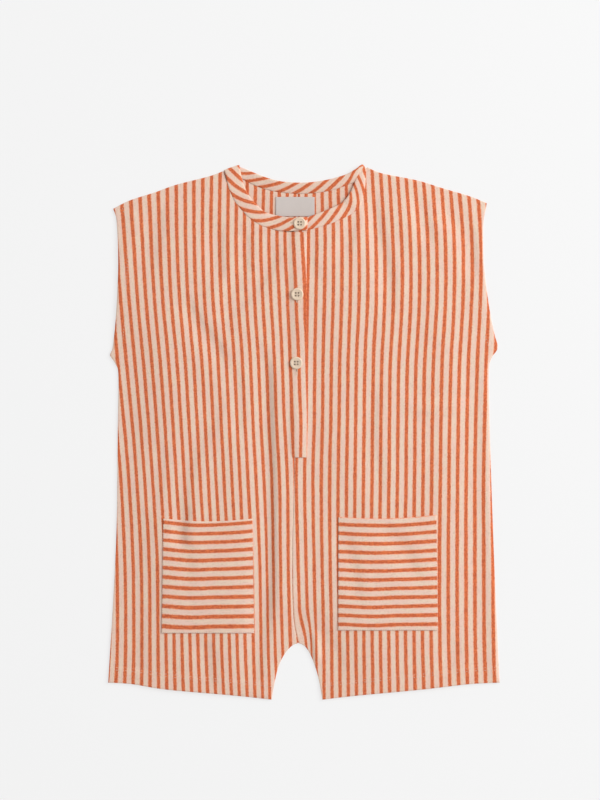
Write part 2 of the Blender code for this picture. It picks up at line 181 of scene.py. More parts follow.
# The neckband from its under end, past the wearer's left shoulder and the back, to its over
# end. Each row is one section of the strip's middle surface, from its sewn edge to its free one.
# Its last number is the share by which it follows the fronts' own relief.
NECKBAND = [BandRow(*row) for row in [
    ("under end", -11.6, 201, 4.4, -10.6, 214.1, 4.1, 1),
    ("under the button", -4, 201.2, 4.4, -4, 214.2, 4.1, 1),
    ("centre front", 5, 202.2, 4.7, 4, 215.4, 4.3, 1),
    ("left front, low", 26, 208.2, 4.9, 21, 221.4, 4.4, 1),
    ("left front, middle", 44.4, 216.3, 4.9, 36, 228.4, 4.4, 1),
    ("left front, bend", 54.7, 224.2, 4.8, 43, 235, 4.6, 1),
    ("left front, high", 59.2, 234.5, 4.8, 47.4, 242.6, 4.9, 1),
    ("left front, rising", 61.2, 245.5, 4.8, 50.4, 249.6, 5.3, 1),
    ("left shoulder, front", 61.8, 256, 4.7, 54.2, 258.4, 5.9, 1),
    ("left shoulder, turn", 62.4, 263.6, 3.6, 58.6, 267, 5.2, 0.5),
    ("left shoulder, top", 58.6, 259.6, 1.8, 56.4, 266.8, 4.4, 0),
    ("left shoulder, back", 54.4, 251.6, 1.3, 51.4, 263, 4.4, 0),
    ("left back, high", 45.4, 248.2, 0.85, 41.5, 257.6, 4, 0),
    ("left back, middle", 29, 242.4, 0.75, 26.5, 253.2, 3.6, 0),
    ("left back, low", 11.5, 239.4, 0.75, 10, 250.3, 3.3, 0),
    ("centre back", -6.6, 238.6, 0.75, -6.4, 249.6, 3.1, 0),
    ("right back, low", -26, 240.4, 0.75, -23.5, 251, 2.9, 0),
    ("right back, middle", -42.4, 244.2, 0.75, -37.8, 254.8, 2.5, 0),
    ("right back, high", -56, 250.2, 0.8, -50.4, 259.8, 1.8, 0),
    ("right shoulder, back", -68, 256.4, 0.85, -59.2, 263.6, 0.85, 0),
    ("right shoulder, under", -79, 260.2, 0.85, -64.1, 265.3, 0.85, 0),
    ("right shoulder, crease", -80, 261.6, 2.1, -64.6, 266.9, 2.1, 0),
    ("right shoulder, over", -79.2, 259.6, 3.5, -64.2, 264.8, 3.3, 0.3),
    ("right front, high", -75.4, 244.5, 4.7, -61.4, 251.4, 4.2, 1),
    ("right front, upper", -69.5, 231.5, 4.7, -57.2, 240.4, 4.5, 1),
    ("right front, bend", -62, 221.7, 4.7, -52, 232.8, 4.6, 1),
    ("right front, middle", -53.2, 213, 4.7, -44.6, 224.8, 4.6, 1),
    ("right front, low", -42.4, 206.5, 4.7, -37, 219.2, 4.5, 1),
    ("right front, inner", -28.3, 202, 5, -25, 216.3, 4.6, 1),
    ("before the overlap", -18, 201, 5.8, -16.5, 214.9, 5.7, 1),
    ("start of the overlap", -12.6, 201, 6.1, -11.6, 214.2, 6, 1),
    ("over end", 3.5, 201.8, 6.1, 3.5, 215.2, 6, 1),
]]
BACK_NECK_ROWS = slice(10, 21)
CENTRE_BACK_ROW = 5  # of those
LEFT_NECK_ROWS = slice(1, 9)
RIGHT_NECK_ROWS = slice(23, 29)

# ---- how the cloth lies

# Troughs along a route of (x, y) points from the neck down; a negative depth is a ridge. The
# cloth rises over the steep width on the wearer's left of it, and over the gentle one behind.
FOLDS = [Fold(*row) for row in [
    # on the wearer's right
    ("hip crease", 1.15, 8, 24,
     [(-56, 100), (-40, 64), (-37, 2), (-35, -68), (-36, -143), (-39, -196), (-46, -262)]),
    ("hip crease at the hem", 0.9, 8, 20, [(-38, -150), (-45, -205), (-50, -262)]),
    ("swell beside the crease", -1.3, 38, 8,
     [(-29, 96), (-27, 30), (-26, -60), (-25, -150), (-24, -200)]),
    ("chest to side", 1.3, 9, 16, [(-124, 142), (-108, 110), (-91, 88), (-76, 62)]),
    ("waist to pocket", 1.1, 12, 24,
     [(-82, 60), (-88, 22), (-108, -13), (-121, -48), (-125, -88), (-118, -140), (-123, -196)]),
    ("top of the pocket", 1.5, 8, 12, [(-116, -70), (-124, -98), (-122, -118)]),
    ("by the placket", 1.3, 10, 16, [(-24, 190), (-40, 158), (-66, 130), (-84, 108)]),
    ("by the placket, second", 1, 8, 14, [(-52, 172), (-66, 150), (-88, 122)]),
    ("below the band", 0.9, 9, 14, [(-86, 210), (-88, 178), (-84, 146)]),
    ("under the neck", 0.8, 7, 10, [(-60, 203), (-58, 180), (-64, 166)]),
    ("along the shoulder", 1.1, 14, 12, [(-84, 254), (-112, 244), (-144, 232), (-176, 220)]),
    ("waist", 0.8, 9, 18, [(-70, 68), (-66, 30), (-67, -6)]),
    ("by the side", 0.9, 10, 20, [(-142, -6), (-146, -44), (-152, -78)]),
    ("leg, outer", 1.1, 10, 16, [(-178, -128), (-174, -190), (-172, -250)]),
    ("leg, slope to the side", 0.8, 70, 8, [(-186, -70), (-188, -150), (-191, -290)]),
    ("leg, below the pocket", 0.8, 9, 15, [(-102, -206), (-96, -232), (-99, -262)]),
    ("shoulder", 1, 12, 20, [(-152, 234), (-150, 200), (-162, 160)]),
    # on the wearer's left
    ("neck to chest", 1.25, 9, 15, [(66, 246), (72, 210), (78, 180), (84, 150), (84, 104)]),
    ("by the armhole", 1.3, 11, 16, [(140, 238), (156, 212), (168, 180), (170, 148)]),
    ("below the shoulder", 1.1, 9, 14, [(114, 242), (119, 212), (130, 182)]),
    ("under the neck", 0.9, 8, 13, [(53, 226), (46, 200), (38, 172)]),
    ("beside the placket", 0.8, 8, 11, [(11, 199), (6, 172), (12, 146)]),
    ("across the waist", -0.7, 9, 12, [(92, 31), (126, 25), (172, 27)]),
    ("waist", 0.7, 9, 20, [(76, 60), (66, 12), (72, -38), (74, -78)]),
    ("lifted by its side seam", -1, 14, 14,
     [(184, 110), (185, 50), (187, -20), (189, -90), (192, -168), (195, -235), (197, -300)]),
    ("pocket", 0.8, 10, 16, [(72, -92), (97, -113), (116, -158)]),
    ("pocket's inner side", 0.8, 9, 14, [(40, -92), (48, -136), (54, -178)]),
    ("leg, outer", 0.7, 10, 16, [(154, -206), (146, -232), (148, -256)]),
    ("leg, inner", 0.8, 9, 14, [(28, -204), (31, -236), (28, -264)]),
    # by the centre
    ("crotch pull", -1.5, 7, 4, [(9, -197), (10.5, -209), (11.8, -219), (13, -234)]),
    ("puff over the placket's foot", -0.5, 10, 10, [(-6, 24), (-4, 0), (-4, -26)]),
    ("crotch pull, upper", 0.4, 9, 14, [(-6, -140), (-5, -172), (-1, -200)]),
]]
FOLD_FADE = 0.22  # the share of its route over which a fold fades at each end
RIDGE_SHARE = 0.22  # of its depth, by which the cloth bulges beside it
RIDGE_MIDDLE = 1.5  # where, in the fold's own widths
RIDGE_REACH = 0.9

# Soft waves of the whole cloth: height, and the length of a wave across.
WAVES = [(0.8, 75), (0.42, 32), (0.16, 12)]
WAVE_SQUEEZE = 0.6  # waves are longer up the page
WAVE_STEP = 7.3  # between the noise of one layer and the next

# ---- stripes

# Where three stripes of each front lie, from the hem to the shoulder: y, then their x on the
# wearer's right and on the left. Stripes are counted towards the wearer's left.
FRONT_STRIPES = [
    (-268, -154, -72.3, -4.5, 4.2, 85.9, 173.2),
    (-208, -154.2, -74.8, -5.5, 3.9, 84.7, 171.4),
    (-128, -155, -76, -7.5, 2, 84, 171),
    (-48, -159.5, -80, -8.6, 0.5, 85, 171),
    (12, -164, -83, -11.9, 2.1, 85.5, 172),
    (72, -169.5, -86, -13.9, 2.5, 86.5, 173.5),
    (132, -175, -91, -16.5, 3.3, 89.5, 176.5),
    (192, -179.5, -93, -19, 4.5, 89, 177),
    (268, -186, -92.5, -18.5, 4, 84.5, 171.5),
]
RIGHT_STRIPES = Stripes([row[:4] for row in FRONT_STRIPES], numbers=(0, 10, 19))
LEFT_STRIPES = Stripes([row[:1] + row[4:] for row in FRONT_STRIPES], numbers=(0, 10, 20))
PLACKET_STRIPES = Stripes([
    (-25, -10.6, -3.4, 4.7), (12, -11.9, -3.2, 4.6), (52, -13.1, -4.8, 3.3),
    (87, -14.6, -5.8, 2.4), (117, -16.1, -7.4, 1.2), (147, -17, -8.4, 0.8),
    (192, -19, -10.8, -2), (202, -18.9, -10.5, -1.9),
], numbers=(0, 1, 2))

# Where the cloth of a front, with its stripes, is drawn aside: the panel, the middle of the
# place, how far it reaches, and by how much to the wearer's left.
PULLS = [
    Pull("front_left_panel", 0, -222, 14, 48, 7),
    Pull("front_right_panel", -46, -150, 18, 160, 1),
    Pull("front_right_panel", -22, -165, 20, 130, -1.2),
]

# A pocket's sides at its top and foot, its top and foot heights, how far the top sags between
# its ends and tilts up to the wearer's left, and its stripes: where the first one lies below
# the top, how far on the second one, and how much wider each step is than the one before. They
# also dip: at which share of its width, and how far at its top and at its foot.
POCKETS = [
    Pocket("pocket_right", -140.8, -51.6, -142.6, -49.8, -86.6, -201.3, 2.8, 0,
           3.6, 8.75, 0.065, 0.3, 0.6, 1.1),
    Pocket("pocket_left", 34.4, 132.4, 34, 134, -84.4, -198.5, 2.6, 2,
           7.25, 9.15, 0, 0.32, -0.3, 1.3),
]
DIP_REACH = 0.3  # of a pocket's width, to each side
TILT_MIDDLE = 0.3  # the share of its width where the tilt changes nothing
PLACKET_EDGES = [  # from its foot to the neck: y, wearer's right x, wearer's left x
    (-25.5, -10, 2.9), (-10, -12.3, 3.2), (60, -12.5, 3.2), (140, -12.5, 2.6),
    (199.9, -12.5, 2.6),
]
LABEL_X = (-28.3, 10.6)
LABEL_Y = (215.8, 235.3)
BUTTONS = [
    Button("button_1", -6, 209.2, 0),
    Button("button_2", -6.9, 137, pi / 2),
    Button("button_3", -7.3, 64.6, pi / 2),
]
HOLE_LENGTH = 13.0
LIP_GAP = 0.15  # from the middle of a buttonhole to the stitches over each lip
LIP_WIDTH = 1.1  # of those stitches
LIP_PITCH = 0.5
HOLE_END = 0.3  # from the end of a buttonhole to the stitches across it
HOLE_END_WIDTH = 1.2  # of those, to each side

# ---- colours, as linear light

ORANGE = (0.74, 0.178, 0.056)
ORANGE_DEEP = (0.50, 0.092, 0.030)
PEACH = (0.83, 0.42, 0.28)  # where single orange rows cross the cream
CREAM = (0.815, 0.615, 0.48)
CREAM_PINK = (0.82, 0.565, 0.47)
CREAM_DEEP = (0.69, 0.495, 0.385)
THREAD = (0.78, 0.60, 0.47)
# the pockets' dark grey thread: real stitches, their darkness partly painted shadow of the line
# along the pocket edges
STITCH_AND_SHADOW_GREY = (0.40, 0.33, 0.31)
LABEL_GREY = (0.61, 0.545, 0.51)
# painted shade: a dark brown for the buttonhole slits and the threads under the buttons, standing
# in for the shade in the slits and sewing holes
PAINTED_SHADE_BROWN = (0.16, 0.10, 0.07)
BUTTON_CREAM = (0.755, 0.595, 0.444)
FLOOR = (0.2, 0.2, 0.2)
FLOOR_GLOW = 0.705


# ==== lines and heights


class Path:
    """A line through one chain of points or more, read by the share of its length. It is
    smooth along each chain and may turn a corner from one chain to the next."""

    def __init__(self, *chains):
        fine = [np.array(chains[0][0], float)]
        for chain in chains:
            knots = [np.array(p, float) for p in chain]
            padded = [2 * knots[0] - knots[1], *knots, 2 * knots[-1] - knots[-2]]
            for before, start, end, after in zip(padded, padded[1:], padded[2:], padded[3:]):
                for step in range(1, PATH_STEPS + 1):
                    fine.append(self.between(before, start, end, after, step / PATH_STEPS))
        self.points = np.array(fine)
        runs = np.linalg.norm(np.diff(self.points, axis=0), axis=1)
        self.length = runs.sum()
        self.shares = np.concatenate([[0], np.cumsum(runs)]) / self.length

    @staticmethod
    def between(before, start, end, after, t):
        """A point on the Catmull-Rom curve from start to end."""
        bend = 2 * before - 5 * start + 4 * end - after
        twist = 3 * (start - end) + after - before
        return start + 0.5 * t * ((end - before) + t * (bend + t * twist))

    def at(self, shares):
        return np.stack([np.interp(shares, self.shares, c) for c in self.points.T], axis=-1)


def offset(points, distances):
    """Moves a chain of plan points to its right-hand side, as seen along the chain."""
    points = np.array(points, float)
    along = np.gradient(points, axis=0)
    along /= np.linalg.norm(along, axis=1)[:, None]
    aside = np.stack([along[:, 1], -along[:, 0]], axis=1)
    return points + aside * np.reshape(distances, (-1, 1))


def bell(t):
    """1 at 0, falling smoothly to 0 at -1 and 1."""
    return np.clip(1 - t * t, 0, None) ** 2


def smooth_step(t):
    t = np.clip(t, 0, 1)
    return t * t * (3 - 2 * t)


def nearest(chain, places):
    """The distance from each place to a chain of points, the share of the chain there and
    which of its pieces that is on."""
    start, run = chain[:-1], np.diff(chain, axis=0)
    t = ((places[:, None] - start) * run).sum(axis=2) / (run * run).sum(axis=1)
    t = np.clip(t, 0, 1)
    away = np.linalg.norm(start + run * t[..., None] - places[:, None], axis=2)
    best = away.argmin(axis=1)
    row = np.arange(len(places))
    return away[row, best], (best + t[row, best]) / len(run), best


def distance(chains, places):
    return np.min([nearest(chain, places)[0] for chain in chains], axis=0)


def left_of(chain, best, places):
    """Whether each place lies to the left of the chain's piece that is nearest to it."""
    run = np.diff(chain, axis=0)[best]
    to_place = places - chain[best]
    return run[:, 0] * to_place[:, 1] - run[:, 1] * to_place[:, 0] > 0


def of_half(number):
    """The edges of one half: 0 is the wearer's right and 1 the left."""
    column = 1 + 2 * number
    return [[row[column:column + 2] for row in rows]
            for rows in (SIDES, SHOULDERS, LEG_HEMS, INNER_LEGS)]


HALVES = [
    Half("right", -1, *of_half(0), RIGHT_NECK_ROWS, RIGHT_STRIPES),
    Half("left", 1, *of_half(1), LEFT_NECK_ROWS, LEFT_STRIPES),
]
HEMS = [Path(half.hem).points for half in HALVES]
ARMHOLES = [Path(half.side[UNDERARM_ROW:]).points for half in HALVES]
SEAMS = [Path(chain).points for half in HALVES
         for chain in (half.side[:UNDERARM_ROW + 1], half.shoulder, half.leg)]
FOLD_ROUTES = [(fold, Path(fold.route).points) for fold in FOLDS]


def waves(places):
    """The cloth's own unevenness, in height."""
    total = np.zeros(len(places))
    for layer, (height, length) in enumerate(WAVES):
        total += height * np.array([
            noise.noise(Vector((x / length, WAVE_SQUEEZE * y / length, WAVE_STEP * layer)))
            for x, y in places
        ])
    return total


def folds(places):
    total = np.zeros(len(places))
    for fold, route in FOLD_ROUTES:
        away, share, best = nearest(route, places)
        fade = smooth_step(np.minimum(share, 1 - share) / FOLD_FADE)
        across = away / np.where(left_of(route, best, places), fold.steep, fold.gentle)
        ridge = RIDGE_SHARE * bell((across - RIDGE_MIDDLE) / RIDGE_REACH)
        total += fold.depth * fade * (ridge - bell(across))
    return total


def away_from_edges(places):
    """How far each place is from the sewn edges, the hems and the armholes."""
    shape, places = places.shape[:-1], places.reshape(-1, 2)
    return [distance(chains, places).reshape(shape) for chains in (SEAMS, HEMS, ARMHOLES)]


def turned(seam, hem, armhole):
    """1 where the cloth is turned in and so double, at the hems and the armholes."""
    double = np.maximum(smooth_step((HEM_DEPTH - hem) / TURN_RAMP),
                        smooth_step((ARMHOLE_DEPTH - armhole) / TURN_RAMP))
    return double * smooth_step(seam / SEAM_REACH)


def front_top(places):
    """Height of the front's outside over an array of (x, y) places."""
    edges = away_from_edges(places)
    seam, hem, armhole = edges
    rise = np.prod([smooth_step(edge / CROWN_REACH) for edge in edges], axis=0)
    inwards = np.minimum(np.min(edges, axis=0) / RELIEF_REACH, 1)
    flat = places.reshape(-1, 2)
    relief = (folds(flat) + waves(flat)).reshape(seam.shape) * inwards * (2 - inwards)
    top = EDGE_TOP + CROWN * rise + relief - SEAM_DROP * (1 - smooth_step(seam / SEAM_REACH))
    low = LOWEST_TOP + TURNED_RISE * turned(*edges)
    top = low + LANDING * np.logaddexp(0, (top - low) / LANDING)
    return top + HEM_STEP * smooth_step((HEM_DEPTH - hem) / TURN_RAMP)


def coons(bottom, top, side, inner, u, v):
    """The points u across and v up the patch between four paths, one row for each v."""
    u, v = u[None, :, None], v[:, None, None]
    across = (1 - v) * bottom.at(u[0, :, 0]) + v * top.at(u[0, :, 0])
    up = (1 - u) * side.at(v[:, 0, 0])[:, None] + u * inner.at(v[:, 0, 0])[:, None]
    low = (1 - u) * bottom.at(0) + u * bottom.at(1)
    high = (1 - u) * top.at(0) + u * top.at(1)
    return across + up - (1 - v) * low - v * high


def stripe_number(stripes, places):
    """Which stripe each place is on, counted in stripes and parts of one."""
    fine = Path(stripes.rows).points
    x, y = places[..., 0], places[..., 1]
    at = [np.interp(y, fine[:, 0], column) for column in fine[:, 1:].T]
    total = 0
    for one in range(3):
        two, three = (one + 1) % 3, (one + 2) % 3
        share = (x - at[two]) * (x - at[three])
        span = (at[one] - at[two]) * (at[one] - at[three])
        total = total + stripes.numbers[one] * share / span
    return total


def upright_grain(stripes, places, looked_up):
    """The grain where stripes run up the page: the stripe looked up at one set of places, and
    the height of the other."""
    return np.stack([stripe_number(stripes, looked_up), places[..., 1]], axis=2)


def before_pulls(panel, places):
    """Where a panel's cloth at each place would lie if nothing drew it aside."""
    x, y = places[..., 0], places[..., 1]
    moved = sum(pull.shift * bell((x - pull.x) / pull.reach_x) * bell((y - pull.y) / pull.reach_y)
                for pull in PULLS if pull.panel == panel)
    return np.stack([x - moved, y], axis=-1)


# ==== materials


class Nodes:
    """A material's nodes, added one after another and joined by what they are given."""

    def __init__(self, name, tone=1.0):
        self.tone = tone  # how light its colours are, as a share
        self.material = bpy.data.materials.new(name)
        self.material.use_nodes = True
        self.tree = self.material.node_tree
        self.shader = self.tree.nodes["Principled BSDF"]

    def feed(self, socket, value):
        if isinstance(value, bpy.types.NodeSocket):
            self.tree.links.new(value, socket)
        else:
            socket.default_value = value

    def add(self, kind, inputs, **settings):
        node = self.tree.nodes.new("ShaderNode" + kind)
        for name, value in settings.items():
            setattr(node, name, value)
        for name, value in inputs.items():
            self.feed(node.inputs[name], value)
        return node

    def shade(self, inputs):
        for name, value in inputs.items():
            self.feed(self.shader.inputs[name], value)

    def math(self, operation, *values):
        return self.add("Math", dict(enumerate(values)), operation=operation).outputs[0]

    def weighted(self, *terms, centred=False):
        """The sum of values, each times its own factor, or of how far each is over 0.5."""
        total = -sum(factor for value, factor in terms) / 2 if centred else 0.0
        for value, factor in terms:
            total = self.math("MULTIPLY_ADD", value, factor, total)
        return total

    def ramp(self, value, low, high, to_low=0.0, to_high=1.0):
        """Value from low to high, made smooth and taken to other ends."""
        node = self.add("MapRange", {
            "Value": value, "From Min": low, "From Max": high, "To Min": to_low, "To Max": to_high,
        }, interpolation_type="SMOOTHSTEP")
        return node.outputs["Result"]

    def mix(self, share, first, second):
        node = self.add("Mix", {}, data_type="RGBA")
        self.feed(node.inputs["Factor"], share)
        for name, colour in (("A", first), ("B", second)):
            if isinstance(colour, tuple):
                colour = (*dimmed(colour, self.tone), 1)
            self.feed(node.inputs[name], colour)
        return node.outputs["Result"]

    def place(self):
        """Where a point is on its own object, in metres."""
        return self.add("TexCoord", {}).outputs["Object"]

    def noise(self, place, scale, **inputs):
        return self.add("TexNoise", {"Vector": place, "Scale": scale, **inputs}).outputs["Fac"]

    def wave(self, place, scale, distortion, direction):
        node = self.add("TexWave", {"Vector": place, "Scale": scale, "Distortion": distortion},
                        bands_direction=direction)
        return node.outputs["Fac"]

    def read_grain(self):
        parts = self.add("SeparateXYZ", {
            "Vector": self.add("UVMap", {}, uv_map="Grain").outputs["UV"],
        })
        self.u, self.v = parts.outputs["X"], parts.outputs["Y"]

    def grain(self, across, along):
        """Noise over the cloth's own grain: its size across and along the stripes, in mm."""
        stretch = self.add("CombineXYZ", {
            "X": self.math("MULTIPLY", self.u, STRIPE_PITCH / across),
            "Y": self.math("MULTIPLY", self.v, 1 / along),
        })
        return self.noise(stretch.outputs[0], 1.0)

    def bump(self, height, strength, depth):
        node = self.add("Bump", {"Height": height, "Strength": strength, "Distance": depth * MM})
        self.shade({"Normal": node.outputs["Normal"]})


def dimmed(colour, share):
    return tuple(channel * share for channel in colour)


STRIPE_HALF = 0.222  # of the pitch
STRIPE_SOFT = 0.09
WALE = 0.95  # the knit's columns and rows
COURSE = 0.75


def knit(nodes):
    """The height of a fine knit: rows of small loops along the stripes."""
    column = nodes.math("MULTIPLY", nodes.u, STRIPE_PITCH / WALE)
    side = nodes.math("PINGPONG", column, 0.5)
    row = nodes.math("ADD", nodes.math("MULTIPLY", nodes.v, 1 / COURSE), side)
    loop = nodes.math("SINE", nodes.math("MULTIPLY", row, 2 * pi))
    rib = nodes.math("SINE", nodes.math("MULTIPLY", column, 2 * pi))
    return nodes.weighted((loop, 0.5), (rib, 0.35))


def jersey(name, tone):
    """Cream knit with orange stripes, uneven in dye and in the thickness of its yarn."""
    nodes = Nodes(name, tone)
    nodes.read_grain()
    wobble = nodes.weighted((nodes.grain(9.0, 38.0), 0.10), (nodes.grain(1.3, 7.0), 0.07),
                            (nodes.grain(0.9, 1.5), 0.22), centred=True)
    place = nodes.math("ADD", nodes.math("ADD", nodes.u, wobble), 0.5)
    away = nodes.math("ABSOLUTE", nodes.math("SUBTRACT", nodes.math("FRACT", place), 0.5))
    striped = nodes.ramp(away, STRIPE_HALF + STRIPE_SOFT, STRIPE_HALF - STRIPE_SOFT)
    slub, mottle = nodes.grain(0.9, 7.0), nodes.grain(1.3, 1.7)
    uneven = nodes.math("ADD", nodes.weighted((slub, 0.5), (mottle, 0.6), centred=True), 0.5)
    dyed = nodes.mix(nodes.ramp(uneven, 0.38, 0.62), ORANGE_DEEP, ORANGE)
    clouded = nodes.mix(nodes.ramp(nodes.grain(3.5, 22.0), 0.4, 0.6), CREAM, CREAM_PINK)
    plain = nodes.mix(nodes.ramp(uneven, 0.30, 0.56), CREAM_DEEP, clouded)
    halfway = nodes.mix(nodes.ramp(striped, 0.0, 0.5), plain, PEACH)
    nodes.shade({
        "Base Color": nodes.mix(nodes.ramp(striped, 0.5, 1.0), halfway, dyed),
        "Roughness": nodes.ramp(slub, 0.2, 0.8, 0.86, 0.96),
        "Specular IOR Level": 0.25, "Sheen Weight": 0.18, "Sheen Roughness": 0.6,
    })
    nodes.bump(nodes.weighted((knit(nodes), 1.0), (uneven, 1.6)), 0.45, 0.14)
    return nodes.material


def thread(name, tone):
    nodes = Nodes(name)
    twist = nodes.wave(nodes.place(), 1400.0, 1.5, "DIAGONAL")
    nodes.shade({"Base Color": nodes.mix(twist, dimmed(tone, 0.82), tone), "Roughness": 0.7})
    nodes.bump(twist, 0.3, 0.05)
    return nodes.material


def woven_label():
    """Pale satin tape with fine crosswise threads."""
    nodes = Nodes("label_satin")
    place = nodes.place()
    weave = nodes.weighted((nodes.wave(place, 620.0, 0.6, "Y"), 0.6),
                           (nodes.wave(place, 420.0, 0.6, "X"), 0.4))
    tone = nodes.weighted((weave, 0.5), (nodes.noise(place, 160.0), 0.5))
    nodes.shade({"Base Color": nodes.mix(tone, dimmed(LABEL_GREY, 0.88), LABEL_GREY),
                 "Roughness": nodes.ramp(weave, 0.0, 1.0, 0.55, 0.7)})
    nodes.bump(weave, 0.25, 0.06)
    return nodes.material


def button_resin():
    """Cream resin, slightly clouded, with a satin gloss."""
    nodes = Nodes("button_resin")
    cloud = nodes.noise(nodes.place(), 260.0, Detail=3.0, Distortion=0.8)
    tone = nodes.ramp(cloud, 0.3, 0.7)
    nodes.shade({"Base Color": nodes.mix(tone, dimmed(BUTTON_CREAM, 0.88), BUTTON_CREAM),
                 "Roughness": nodes.ramp(cloud, 0.2, 0.8, 0.34, 0.46)})
    nodes.bump(cloud, 0.08, 0.05)
    return nodes.material


def floor_paper():
    nodes = Nodes("floor_paper")
    tooth = nodes.noise(nodes.place(), 900.0)
    nodes.shade({
        "Base Color": (*FLOOR, 1), "Roughness": nodes.ramp(tooth, 0.0, 1.0, 0.9, 1.0),
        "Specular IOR Level": 0.1, "Emission Color": (1, 1, 1, 1),
        "Emission Strength": FLOOR_GLOW,
    })
    return nodes.material


FRONT_JERSEY = jersey("front_jersey", 1.0)
INSIDE_JERSEY = jersey("inside_jersey", 0.97)
BIAS_JERSEY = jersey("bias_jersey", 1.0)
SEWING_THREAD = thread("sewing_thread", THREAD)
# pocket stitching whose dark grey also stands in for the painted shadow line at the pocket edges
STITCH_AND_SHADOW_THREAD = thread("pocket_thread", STITCH_AND_SHADOW_GREY)
# a thread whose dark brown is painted shade, for the buttonhole slits and the shanks under the
# buttons
PAINTED_SHADE_THREAD = thread("painted_shade_thread", PAINTED_SHADE_BROWN)
LABEL_SATIN = woven_label()
BUTTON_RESIN = button_resin()


# ==== meshes


def link(name, data):
    """A new object in the scene."""
    made = bpy.data.objects.new(name, data)
    bpy.context.scene.collection.objects.link(made)
    return made


def piece(name, points, faces, material, grain=None):
    """Makes one smooth-shaded object of the part from points in millimetres."""
    mesh = bpy.data.meshes.new(name)
    mesh.from_pydata((np.asarray(points) * MM).tolist(), [], [list(face) for face in faces])
    if grain is not None:
        corners = np.zeros(len(mesh.loops), int)
        mesh.loops.foreach_get("vertex_index", corners)
        mesh.uv_layers.new(name="Grain").data.foreach_set("uv", grain[corners].ravel())
    mesh.materials.append(material)
    mesh.shade_smooth()
    made = link(name, mesh)
    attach(made, BODY)
    return made


def raised(places, heights):
    """Places in the plan with their heights."""
    return np.concatenate([places, heights[..., None]], axis=-1)


def grid_faces(index):
    """The faces of a grid of point numbers."""
    corners = (index[:-1, :-1], index[:-1, 1:], index[1:, 1:], index[1:, :-1])
    return np.stack(corners, axis=-1).reshape(-1, 4)


def tube_faces(sections, corners, capped=True):
    """The faces of a tube of closed sections, with its two ends or without."""
    index = np.arange(sections * corners).reshape(sections, corners)
    around = grid_faces(np.concatenate([index, index[:, :1]], axis=1)).tolist()
    ends = [index[0, ::-1].tolist(), index[-1].tolist()] if capped else []
    return around + ends


def copied(faces, size, count):
    """The faces of a number of like shapes, which have so many points each."""
    return [[corner + size * number for corner in face]
            for number in range(count) for face in faces]


def ring_faces(upper, lower):
    """The faces between two closed rings of point numbers."""
    return np.stack([upper, lower, np.roll(lower, -1), np.roll(upper, -1)], axis=1)


def round_border(index):
    """The numbers of a grid's border points, once round."""
    return np.concatenate([index[0, :-1], index[:-1, -1], index[-1, :0:-1], index[:0:-1, 0]])


def shell(name, top, wall, grain, material):
    """A sheet of cloth with a round edge, from a grid of points on its outside and its wall. It
    stands for the solid of the same name."""
    if np.cross(top[0, 1] - top[0, 0], top[1, 0] - top[0, 0])[2] < 0:
        top, wall, grain = top[:, ::-1], wall[:, ::-1], grain[:, ::-1]
    index = np.arange(top.shape[0] * top.shape[1]).reshape(top.shape[:2])
    border = round_border(index)
    outside, walls = top.reshape(-1, 3).copy(), wall.reshape(-1)
    along = np.roll(outside[border], -1, axis=0) - np.roll(outside[border], 1, axis=0)
    outward = np.stack([along[:, 1], -along[:, 0], np.zeros(len(border))], axis=1)
    outward /= np.linalg.norm(outward, axis=1)[:, None]
    radius = walls[border, None] / 2
    outside[border] -= outward * radius
    inside = outside - walls[:, None] * (0, 0, 1)
    middle = (outside[border] + inside[border]) / 2
    points, rings = [outside, inside], [border]
    faces = [grid_faces(index), grid_faces(index + len(outside))[:, ::-1]]
    for step in range(1, RIM_STEPS):
        angle = pi / 2 - pi * step / RIM_STEPS
        points.append(middle + radius * (outward * cos(angle) + np.array([0, 0, sin(angle)])))
        rings.append(np.arange(len(border)) + 2 * len(outside) + (step - 1) * len(border))
    rings.append(border + len(outside))
    faces += [ring_faces(upper, lower) for upper, lower in zip(rings, rings[1:])]
    grain = grain.reshape(-1, 2)
    grain = np.concatenate([grain, grain, *[grain[border]] * (RIM_STEPS - 1)])
    made = piece(name, np.concatenate(points), np.concatenate(faces), material, grain)
    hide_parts(name)
    return made


THREAD_TURNS = np.arange(6) * pi / 3  # the corners of a thread's section
STITCH_SECTIONS = 5
STITCH_TIP = 0.02  # the square of its thickness at its ends, as a share of the middle's
STITCH_SAG = 0.25  # how far its ends dip into the cloth
DIRECTION_REACH = 0.3  # the line's direction at a stitch is taken over this, to each side


def stitches(name, routes, top, length=2.3, pitch=3.1, width=0.42, height=0.3,
             material=SEWING_THREAD):
    """Rows of thread stitches lying on a surface, joined into one piece."""
    along = np.repeat(np.linspace(-1, 1, STITCH_SECTIONS), len(THREAD_TURNS))
    turns = np.tile(THREAD_TURNS, STITCH_SECTIONS)
    swell = np.sqrt(np.clip(1 - along ** 4, STITCH_TIP, 1))
    x = along * length / 2
    y = swell * np.cos(turns) * width / 2
    z = swell * np.sin(turns) * height - STITCH_SAG * along ** 4
    places = []
    for route in routes:
        line = Path(route)
        spots = np.arange(0.5, int(line.length / pitch)) * pitch / line.length
        reach = DIRECTION_REACH / line.length
        ahead = line.at(np.minimum(spots + reach, 1)) - line.at(np.maximum(spots - reach, 0))
        ahead /= np.linalg.norm(ahead, axis=1)[:, None]
        for centre, way in zip(line.at(spots), ahead):
            aside = np.array([-way[1], way[0]])
            places.append(centre + x[:, None] * way + y[:, None] * aside)
    faces = copied(tube_faces(STITCH_SECTIONS, len(THREAD_TURNS)), len(z), len(places))
    heights = np.tile(z, len(places))
    places = np.concatenate(places)
    points = raised(places, heights + top(places))
    return piece(name, points, faces, material)


# ==== the panels


def on_front(places, lift):
    return raised(places, front_top(places) + lift)


